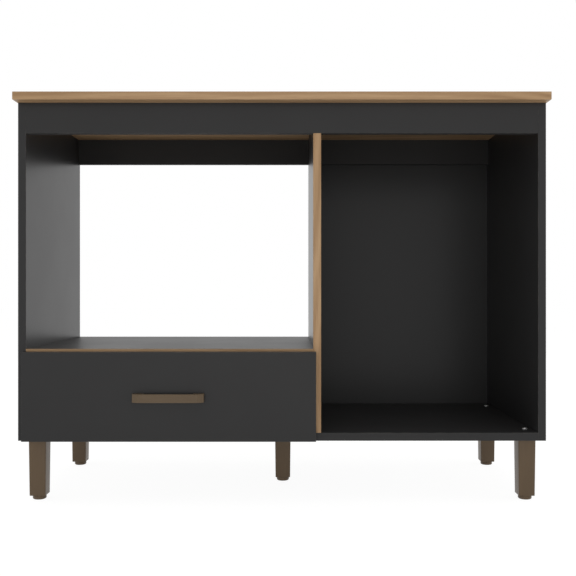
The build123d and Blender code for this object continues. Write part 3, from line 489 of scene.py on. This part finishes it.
# Plated, cast or rolled metal: tone drifts, hairline scratches along one axis, dull spots
metalLooks = {
    "zincPlate": {"colour": (0.64, 0.635, 0.61, 1), "dull": (0.42, 0.41, 0.38, 1),
                  "roughness": (0.30, 0.40), "along": "z", "scratch": 0.25, "metallic": 1.0},
    "castZinc": {"colour": (0.42, 0.42, 0.41, 1), "dull": (0.27, 0.27, 0.265, 1),
                 "roughness": (0.36, 0.55), "along": "x", "scratch": 0.25, "metallic": 1.0},
    "slideSteel": {"colour": (0.60, 0.61, 0.61, 1), "dull": (0.50, 0.51, 0.51, 1),
                   "roughness": (0.30, 0.38), "along": "y", "scratch": 1.0, "metallic": 1.0},
    "boltPlate": {"colour": (0.72, 0.72, 0.71, 1), "dull": (0.62, 0.62, 0.61, 1),
                  "roughness": (0.45, 0.55), "along": "z", "scratch": 0.25, "metallic": 0.65},
    "cageSteel": {"colour": (0.52, 0.52, 0.51, 1), "dull": (0.40, 0.40, 0.39, 1),
                  "roughness": (0.30, 0.38), "along": "y", "scratch": 0.25, "metallic": 1.0},
}
metalPattern = {
    "cloud": {"scale": 70, "detail": 4, "rough": 0.65},
    "cloudRange": (0.35, 0.7),
    "cloudWeight": 0.6,    # in the gloss; the scratches have the rest
    "lines": {"scale": 1600, "share": 0.04, "detail": 2, "rough": 0.6},
    "lineDepth": 0.02 * mm,
    "spots": {"scale": 420, "detail": 3, "rough": 0.6},
    "spotRange": (0.62, 0.75),
    "spotStrength": 0.5,
    "glossRange": (0.35, 0.65),
}


def metalFinish(name, look):
    finish, tree, place, shader = newFinish(name)
    pattern = metalPattern
    cloud = grain(tree, place, **pattern["cloud"])
    lines = grain(tree, place, along=look["along"], **pattern["lines"])
    spots = grain(tree, place, **pattern["spots"])
    colour = tint(tree, fade(tree, cloud, *pattern["cloudRange"]), look["colour"], look["dull"])
    dulled = fade(tree, spots, *pattern["spotRange"], 0.0, pattern["spotStrength"])
    wire(tree, tint(tree, dulled, colour, look["dull"]), shader, "Base Color")
    mixed = calc(tree, "ADD", calc(tree, "MULTIPLY", cloud, pattern["cloudWeight"]),
                 calc(tree, "MULTIPLY", lines, 1 - pattern["cloudWeight"]))
    wire(tree, fade(tree, mixed, *pattern["glossRange"], *look["roughness"]), shader, "Roughness")
    wire(tree, relief(tree, lines, look["scratch"] * pattern["lineDepth"]), shader, "Normal")
    shader.inputs["Metallic"].default_value = look["metallic"]
    return finish


footPlastic = plasticFinish("footPlastic", footPlasticLook)
handlePlastic = plasticFinish("handlePlastic", handlePlasticLook)
metals = {name: metalFinish(name, look) for name, look in metalLooks.items()}
worktopOak = woodFinish("worktopOak", "x")
endOak = woodFinish("endOak", "y")
uprightOak = woodFinish("uprightOak", "z")
# the shelf's edge strip sits back behind the drawer front's top edge, so its colour is darkened as painted
# shade
levelOak = woodFinish("levelOak", "x", paintedShade=0.82)
dowelBeech = woodFinish("dowelBeech", "x", beechLook)
print("finishes mixed")


# Helpers for modelling
straight = 0.99    # cosine from which two directions count as one


def selectOnly(*pieces):    # and make the first one active
    bpy.ops.object.select_all(action="DESELECT")
    for piece in pieces:
        piece.select_set(True)
    bpy.context.view_layer.objects.active = pieces[0]


def begin(name, add, **place):    # a primitive, with its place put into its mesh
    bpy.ops.object.select_all(action="DESELECT")
    add(**place)
    piece = bpy.context.object
    piece.name = name
    piece.data.name = name
    bpy.ops.object.transform_apply(location=True, rotation=True, scale=True)
    return piece


def block(name, low, high):
    centre = [(a + b) / 2 for a, b in zip(low, high)]
    size = [b - a for a, b in zip(low, high)]
    return begin(name, bpy.ops.mesh.primitive_cube_add, size=1, location=centre, scale=size)


def openMesh(piece):
    selectOnly(piece)
    bpy.ops.object.mode_set(mode="EDIT")


def closeMesh():
    bpy.ops.object.mode_set(mode="OBJECT")


def pick(piece, kind, test):    # kind is "verts", "edges" or "faces"
    mode = {"verts": "VERT", "edges": "EDGE", "faces": "FACE"}[kind]
    bpy.ops.mesh.select_all(action="DESELECT")
    bpy.ops.mesh.select_mode(type=mode)
    mesh = bmesh.from_edit_mesh(piece.data)
    mesh.normal_update()
    for item in getattr(mesh, kind):
        if test(item):
            item.select_set(True)
    mesh.select_flush_mode()
    bmesh.update_edit_mesh(piece.data)


def near(a, b, slack=0.02 * mm):
    return abs(a - b) < slack


def atEither(value, low, high):    # at one or the other of two places
    return near(value, low) or near(value, high)


def middle(edge):
    return (edge.verts[0].co + edge.verts[1].co) / 2


def runs(edge, axis):    # an edge that runs along one axis
    line = (edge.verts[1].co - edge.verts[0].co).normalized()
    return abs(line["xyz".index(axis)]) > straight


def atHeight(edge, height):    # a level edge at one height
    return all(near(vert.co.z, height) for vert in edge.verts)


def facing(x=0, y=0, z=0):    # faces that look one way
    way = Vector((x, y, z)).normalized()
    return lambda face: face.normal.dot(way) > straight


def level(face):    # looks up or down
    return abs(face.normal.z) > straight


def upright(face):    # looks to a side
    return abs(face.normal.z) < 0.5


def topCap(face):    # the many-sided face on top of a round piece
    return face.normal.z > straight and len(face.verts) > 4


def push(x=0, y=0, z=0):
    bpy.ops.mesh.extrude_region_move(TRANSFORM_OT_translate={"value": (x, y, z)})


def roundOff(width, segments):
    bpy.ops.mesh.bevel(offset=width, offset_type="OFFSET", segments=segments, profile=0.5, affect="EDGES",
                       clamp_overlap=True)


def moveCopy(source, name, shift):    # a copy with its own mesh
    copy = source.copy()
    copy.data = source.data.copy()
    copy.name = name
    copy.data.name = name
    bpy.context.collection.objects.link(copy)
    openMesh(copy)
    bpy.ops.mesh.select_all(action="SELECT")
    bpy.ops.transform.translate(value=shift)
    closeMesh()
    return copy


def joinUp(*pieces):    # into the first one
    selectOnly(*pieces)
    bpy.ops.object.join()


def centreOf(node):
    low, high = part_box(node)
    return (low + high) / 2


def dress(piece, finish):
    piece.data.materials.clear()
    piece.data.materials.append(finish)


def finishPiece(piece, finish, body, node, smooth=32):
    selectOnly(piece)
    bpy.ops.object.shade_smooth_by_angle(angle=radians(smooth))
    dress(piece, finish)
    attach(piece, body)
    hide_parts(node)


# Worktop: a laminated board with an edge band round it
worktopMake = {
    "bandThickness": 1.0 * mm,
    "outerArris": 0.9 * mm,
    "innerArris": 0.05 * mm,
    "groove": 0.12 * mm,
}
topLow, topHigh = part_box("worktop")
thick = worktopMake["bandThickness"]
board = block("worktopBoard", topLow + Vector((thick, thick, 0)), topHigh - Vector((thick, thick, 0)))
openMesh(board)
pick(board, "edges", lambda edge: atHeight(edge, topLow.z) or atHeight(edge, topHigh.z))
roundOff(worktopMake["groove"], segments=1)
closeMesh()

# The band starts as a block whose broad faces are inset and bridged, which leaves a frame
halfOfTop = (topHigh.x - topLow.x) * (topHigh.y - topLow.y) / 2
band = block("worktopEdgeBand", topLow, topHigh)
openMesh(band)
pick(band, "faces", level)
bpy.ops.mesh.inset(thickness=thick, use_individual=True)
pick(band, "faces", lambda face: level(face) and face.calc_area() > halfOfTop)
bpy.ops.mesh.bridge_edge_loops()
pick(band, "edges", lambda edge: not runs(edge, "z") and (
    atEither(middle(edge).x, topLow.x, topHigh.x) or atEither(middle(edge).y, topLow.y, topHigh.y)))
roundOff(worktopMake["outerArris"], segments=4)
pick(band, "edges", lambda edge: not runs(edge, "z") and (
    atEither(middle(edge).x, topLow.x + thick, topHigh.x - thick)
    or atEither(middle(edge).y, topLow.y + thick, topHigh.y - thick)))
roundOff(worktopMake["innerArris"], segments=1)
closeMesh()
finishPiece(board, worktopOak, "cabinet", "worktop")
finishPiece(band, worktopOak, "cabinet", "worktop")
band.data.materials.append(endOak)    # the short bands have their grain along their own length
openMesh(band)
pick(band, "faces", lambda face: abs(face.calc_center_median().x) > topHigh.x - thick)
band.active_material_index = 1
bpy.ops.object.material_slot_assign()
closeMesh()
print("worktop made")


# Wood edge strips on the divider and on the shelf
stripMake = {
    "arris": 0.5 * mm,
    "strips": {
        "divider_edge_band": {"name": "dividerEdgeStrip", "along": "z", "finish": uprightOak},
        "shelf_edge_band": {"name": "shelfEdgeStrip", "along": "x", "finish": levelOak},
    },
}
for node, choice in stripMake["strips"].items():
    low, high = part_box(node)
    strip = block(choice["name"], low, high)
    openMesh(strip)
    pick(strip, "edges", lambda edge: runs(edge, choice["along"]) and near(middle(edge).y, low.y))
    roundOff(stripMake["arris"], segments=3)
    closeMesh()
    finishPiece(strip, choice["finish"], "cabinet", node)
print("edge strips made")


# Drawer pull: a bar that bows out from two end legs
pullMake = {
    "bar": 7 * mm,
    "legWidth": 24 * mm,
    "slope": 14 * mm,
    "endDrop": 6 * mm,
    "cornerRadius": 3.0 * mm,
    "innerRadius": 4.0 * mm,
    "rimRadius": 1.2 * mm,
    "lowRimRadius": 3.4 * mm,
    "weld": 0.005 * mm,
}
pullLow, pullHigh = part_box("drawer_handle")
leftLegEnd = pullLow.x + pullMake["legWidth"]
rightLegEnd = pullHigh.x - pullMake["legWidth"]
barBack = pullLow.y + pullMake["bar"]
pull = block("drawerPull", (leftLegEnd, pullLow.y, pullLow.z), (rightLegEnd, barBack, pullHigh.z))
openMesh(pull)
for way in (1, -1):    # the bar grows a straight length and a slope at each end
    pick(pull, "faces", facing(x=way))
    push(x=way * (pullMake["legWidth"] - pullMake["slope"]))
    pick(pull, "faces", facing(x=way))
    push(x=way * pullMake["slope"])
pick(pull, "verts", lambda vert: near(vert.co.y, pullLow.y) and atEither(vert.co.x, pullLow.x, pullHigh.x))
bpy.ops.transform.translate(value=(0, pullMake["endDrop"], 0))
# the legs reach back to the drawer front
pick(pull, "faces", lambda face: face.normal.y > straight
     and not leftLegEnd < face.calc_center_median().x < rightLegEnd)
push(y=pullHigh.y - barBack)
pick(pull, "edges", lambda edge: runs(edge, "z") and near(middle(edge).y, barBack)
     and leftLegEnd - mm < middle(edge).x < rightLegEnd + mm)
roundOff(pullMake["innerRadius"], segments=5)
pick(pull, "edges", lambda edge: runs(edge, "z") and middle(edge).y < barBack
     and not near(middle(edge).y, barBack))
roundOff(pullMake["cornerRadius"], segments=5)


def outerRim(edge, height):    # the level edges round the front and the ends
    sides = [face.normal for face in edge.link_faces if upright(face)]
    if not sides or not atHeight(edge, height):
        return False
    looksForward = sides[0].y < -0.1
    return looksForward or atEither(middle(edge).x, pullLow.x, pullHigh.x)


pick(pull, "edges", lambda edge: outerRim(edge, pullHigh.z))
roundOff(pullMake["rimRadius"], segments=4)
pick(pull, "edges", lambda edge: outerRim(edge, pullLow.z))
roundOff(pullMake["lowRimRadius"], segments=6)
bpy.ops.mesh.select_all(action="SELECT")
bpy.ops.mesh.remove_doubles(threshold=pullMake["weld"])
bpy.ops.mesh.normals_make_consistent(inside=False)
closeMesh()
finishPiece(pull, handlePlastic, "drawer", "drawer_handle", smooth=40)
print("drawer pull made")


# Feet: tapered moulded posts, open at the top and hollowed a little under the sole
footMake = {
    "places": ("front_left", "front_right", "back_left", "back_right", "middle"),
    "soleShare": 0.925,    # the sole's width against the top's
    "cornerRadius": 3.0 * mm,
    "wall": 2.5 * mm,
    "floor": 4.0 * mm,    # thickness left at the lower end
    "soleRim": 4.2 * mm,
    "soleRecess": 1.0 * mm,
    "soleRound": 0.7 * mm,
}
footLow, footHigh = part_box("foot_front_left")
footCentre = (footLow + footHigh) / 2
foot = block("footPattern", footLow, footHigh)
openMesh(foot)
pick(foot, "faces", facing(z=-1))
bpy.ops.transform.resize(value=(footMake["soleShare"], footMake["soleShare"], 1),
                         center_override=(footCentre.x, footCentre.y, footLow.z))
pick(foot, "edges", lambda edge: runs(edge, "z"))
roundOff(footMake["cornerRadius"], segments=5)
pick(foot, "faces", facing(z=-1))
bpy.ops.mesh.inset(thickness=footMake["soleRim"])
push(z=footMake["soleRecess"])    # up into the sole
pick(foot, "faces", facing(z=1))
bpy.ops.mesh.inset(thickness=footMake["wall"])
push(z=footMake["floor"] - (footHigh.z - footLow.z))    # down inside the walls
soleReach = footMake["soleShare"] * (footHigh.x - footLow.x) / 2
rimMiddle = soleReach - footMake["soleRim"] / 2    # parts the rim's outer edges from its inner ones


def soleEdge(edge):    # round the outside of the sole
    way = middle(edge) - footCentre
    outside = any(upright(face) and face.normal.dot(way) > 0 for face in edge.link_faces)
    return near(middle(edge).z, footLow.z) and outside and max(abs(way.x), abs(way.y)) > rimMiddle


pick(foot, "edges", soleEdge)
roundOff(footMake["soleRound"], segments=3)
bpy.ops.mesh.select_all(action="SELECT")
bpy.ops.mesh.normals_make_consistent(inside=False)
closeMesh()
print("first foot made")


# Glides: round pads with threaded stems that screw into the feet
glideMake = {
    "sides": 56,
    "padRadius": 15.5 * mm,
    "padHeight": 10.0 * mm,
    "lowRound": 3.0 * mm,
    "topChamfer": 1.8 * mm,
    "collarRadius": 7.0 * mm,    # of the shallow recess round the stem
    "collarDepth": 0.4 * mm,
    "stemGap": 0.5 * mm,
    "stemSunk": 1.5 * mm,    # how deep the stem stands in the pad
    "rootRadius": 3.3 * mm,
    "crestRadius": 3.9 * mm,
    "pitch": 1.25 * mm,
    "flankShare": 0.40,    # of the pitch, on each side of the thread's crest
    "crestShare": 0.12,
    "turns": 24,
    "stepsPerTurn": 20,
    "weld": 0.002 * mm,
}
glideCentre = centreOf("glide_front_left")
glideTop = glideMake["padHeight"]
glide = begin("glidePattern", bpy.ops.mesh.primitive_cylinder_add, vertices=glideMake["sides"],
              radius=glideMake["padRadius"], depth=glideTop,
              location=(glideCentre.x, glideCentre.y, glideTop / 2))
openMesh(glide)
pick(glide, "edges", lambda edge: atHeight(edge, 0))
roundOff(glideMake["lowRound"], segments=5)
pick(glide, "edges", lambda edge: atHeight(edge, glideTop))
roundOff(glideMake["topChamfer"], segments=2)
pick(glide, "faces", facing(z=1))
bpy.ops.mesh.inset(thickness=glideMake["padRadius"] - glideMake["topChamfer"] - glideMake["collarRadius"])
pick(glide, "faces", topCap)
push(z=-glideMake["collarDepth"])
pick(glide, "faces", topCap)
bpy.ops.mesh.inset(thickness=glideMake["collarRadius"] - glideMake["crestRadius"] - glideMake["stemGap"])
closeMesh()

# One tooth of the stem's thread, in steps out and up, is turned up the axis by a Screw modifier
flank = glideMake["flankShare"]
crest = glideMake["crestShare"]
rise = glideMake["crestRadius"] - glideMake["rootRadius"]
tooth = [(rise, flank), (0, crest), (-rise, flank), (0, 1 - 2 * flank - crest)]
bpy.ops.object.select_all(action="DESELECT")
bpy.ops.mesh.primitive_plane_add(size=mm, location=(0, 0, 0))
stem = bpy.context.object
stem.name = "stemPattern"
openMesh(stem)
bpy.ops.mesh.select_mode(type="VERT")
bpy.ops.mesh.select_all(action="SELECT")
bpy.ops.mesh.merge(type="CENTER")
bpy.ops.transform.translate(value=(glideMake["rootRadius"], 0, 0))
for out, up in tooth:
    step = (out, 0, up * glideMake["pitch"])
    bpy.ops.mesh.extrude_vertices_move(TRANSFORM_OT_translate={"value": step})
closeMesh()
turning = stem.modifiers.new("thread", "SCREW")
turning.axis = "Z"
turning.screw_offset = glideMake["pitch"]
turning.iterations = glideMake["turns"]
turning.steps = glideMake["stepsPerTurn"]
turning.render_steps = glideMake["stepsPerTurn"]
turning.use_merge_vertices = True
bpy.ops.object.modifier_apply(modifier="thread")
openMesh(stem)
bpy.ops.mesh.select_all(action="SELECT")
bpy.ops.mesh.remove_doubles(threshold=glideMake["weld"])
bpy.ops.mesh.fill_holes(sides=0)
bpy.ops.mesh.normals_make_consistent(inside=False)
bpy.ops.transform.translate(value=(glideCentre.x, glideCentre.y, glideTop - glideMake["stemSunk"]))
closeMesh()
joinUp(glide, stem)
print("first glide made")

for place in footMake["places"]:
    shift = centreOf("foot_" + place) - footCentre
    newFoot = moveCopy(foot, "footPost_" + place, shift)
    finishPiece(newFoot, footPlastic, "cabinet", "foot_" + place)
    newGlide = moveCopy(glide, "glidePad_" + place, shift)
    finishPiece(newGlide, footPlastic, "glide_" + place, "glide_" + place, smooth=35)
for pattern in (foot, glide):
    bpy.data.objects.remove(pattern)
print("feet and glides made")


# Foot bolts: low domed heads with a six-sided socket, one over each foot
boltMake = {
    "sides": 36,
    "headRadius": 6.2 * mm,
    "headHeight": 1.8 * mm,
    "domeRound": 1.6 * mm,
    "shankRadius": 2.9 * mm,
    "socketRadius": 2.3 * mm,
    "socketDepth": 1.2 * mm,
}
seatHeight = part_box("bottom_panel")[1].z
headTop = seatHeight + boltMake["headHeight"]
bolt = begin("boltPattern", bpy.ops.mesh.primitive_cylinder_add, vertices=boltMake["sides"],
             radius=boltMake["headRadius"], depth=boltMake["headHeight"],
             location=(footCentre.x, footCentre.y, seatHeight + boltMake["headHeight"] / 2))
openMesh(bolt)
pick(bolt, "edges", lambda edge: atHeight(edge, headTop))
roundOff(boltMake["domeRound"], segments=5)
pick(bolt, "faces", facing(z=-1))
bpy.ops.mesh.inset(thickness=boltMake["headRadius"] - boltMake["shankRadius"])
push(z=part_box("foot_bolts")[0].z - seatHeight)
closeMesh()
socket = begin("socketCutter", bpy.ops.mesh.primitive_cylinder_add, vertices=6,
               radius=boltMake["socketRadius"], depth=2 * boltMake["socketDepth"],
               location=(footCentre.x, footCentre.y, headTop))
cutter = bolt.modifiers.new("socket", "BOOLEAN")
cutter.operation = "DIFFERENCE"
cutter.solver = "EXACT"
cutter.object = socket
selectOnly(bolt)
bpy.ops.object.modifier_apply(modifier="socket")
bpy.data.objects.remove(socket)

footBolts = [moveCopy(bolt, "footBolt_" + place, centreOf("foot_" + place) - footCentre)
             for place in footMake["places"]]
bpy.data.objects.remove(bolt)
joinUp(*footBolts)
footBolts[0].name = "footBolts"
finishPiece(footBolts[0], metals["boltPlate"], "cabinet", "foot_bolts", smooth=40)
print("foot bolts made")


# Finishes for the boards and fittings whose shapes stay as they are
boards = {
    # the arrises in each first list get wear with a painted highlight on them
    "left_side_panel": {"wearAndHighlight": ("y- x-", "y- x+", "z- x-", "y+ x-"), "bands": ("y-",), "raw": ("z-",)},
    "right_side_panel": {"wearAndHighlight": ("y- x-", "y- x+", "z- x+", "y+ x+"), "bands": ("y-",), "raw": ("z-",)},
    "bottom_panel": {"look": shelfLaminate, "wearAndHighlight": ("y- z-", "y- z+"), "bands": ("y-",), "raw": ("y+",)},
    "divider_panel": {"wearAndHighlight": ("y+ x-",), "bands": ("y+",)},
    "niche_shelf": {"look": shelfLaminate, "wearAndHighlight": ("y+ z+",), "bands": ("y+",)},
    "front_rail": {"wearAndHighlight": ("y- z-",), "bands": ("z-",), "matt": ("z-",)},
    "back_rail": {"wearAndHighlight": ("y+ z-",), "bands": ("z-",), "matt": ("z-",)},
    "drawer_front": {"wearAndHighlight": ("y- z-", "y- z+", "y- x-", "y- x+", "y+ z+", "y+ z-"),
                     "bands": ("z+", "z-", "x-", "x+")},
    "drawer_side_left": {"look": greyLaminate, "wearAndHighlight": ("x- z+", "x+ z+"), "bands": ("z+",),
                         "raw": ("z-", "y+")},
    "drawer_side_right": {"look": greyLaminate, "wearAndHighlight": ("x- z+", "x+ z+"), "bands": ("z+",),
                          "raw": ("z-", "y+")},
    "drawer_back": {"look": greyLaminate, "wearAndHighlight": ("y- z+", "y+ z+"), "bands": ("z+",)},
    "drawer_bottom": {"look": greyLaminate, "raw": ("y+",)},
}
fittings = {
    "castZinc": ["cam_fittings", "drawer_cam_fittings"],
    "zincPlate": ["cam_bolts", "divider_screws", "worktop_brackets", "bracket_screws", "back_panel_nails",
                  "handle_screws", "drawer_cam_bolts", "drawer_back_screws", "drawer_bottom_nails",
                  "slide_wall_screws", "slide_box_screws"],
    "slideSteel": [f"slide_{member}_member_{side}" for member in ("cabinet", "middle", "drawer")
                   for side in ("left", "right")],
    "cageSteel": [f"ball_cage_{row}_{side}" for row in ("outer", "inner") for side in ("left", "right")],
}
for node, choice in boards.items():
    dress(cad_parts[node], boardFinish(node, **choice))
for node in ("back_panel_bay", "back_panel_drawer"):
    dress(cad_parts[node], hardboardFinish(node))
for metal, nodes in fittings.items():
    for node in nodes:
        dress(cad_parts[node], metals[metal])
dress(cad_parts["dowels"], dowelBeech)
print("boards and fittings finished")
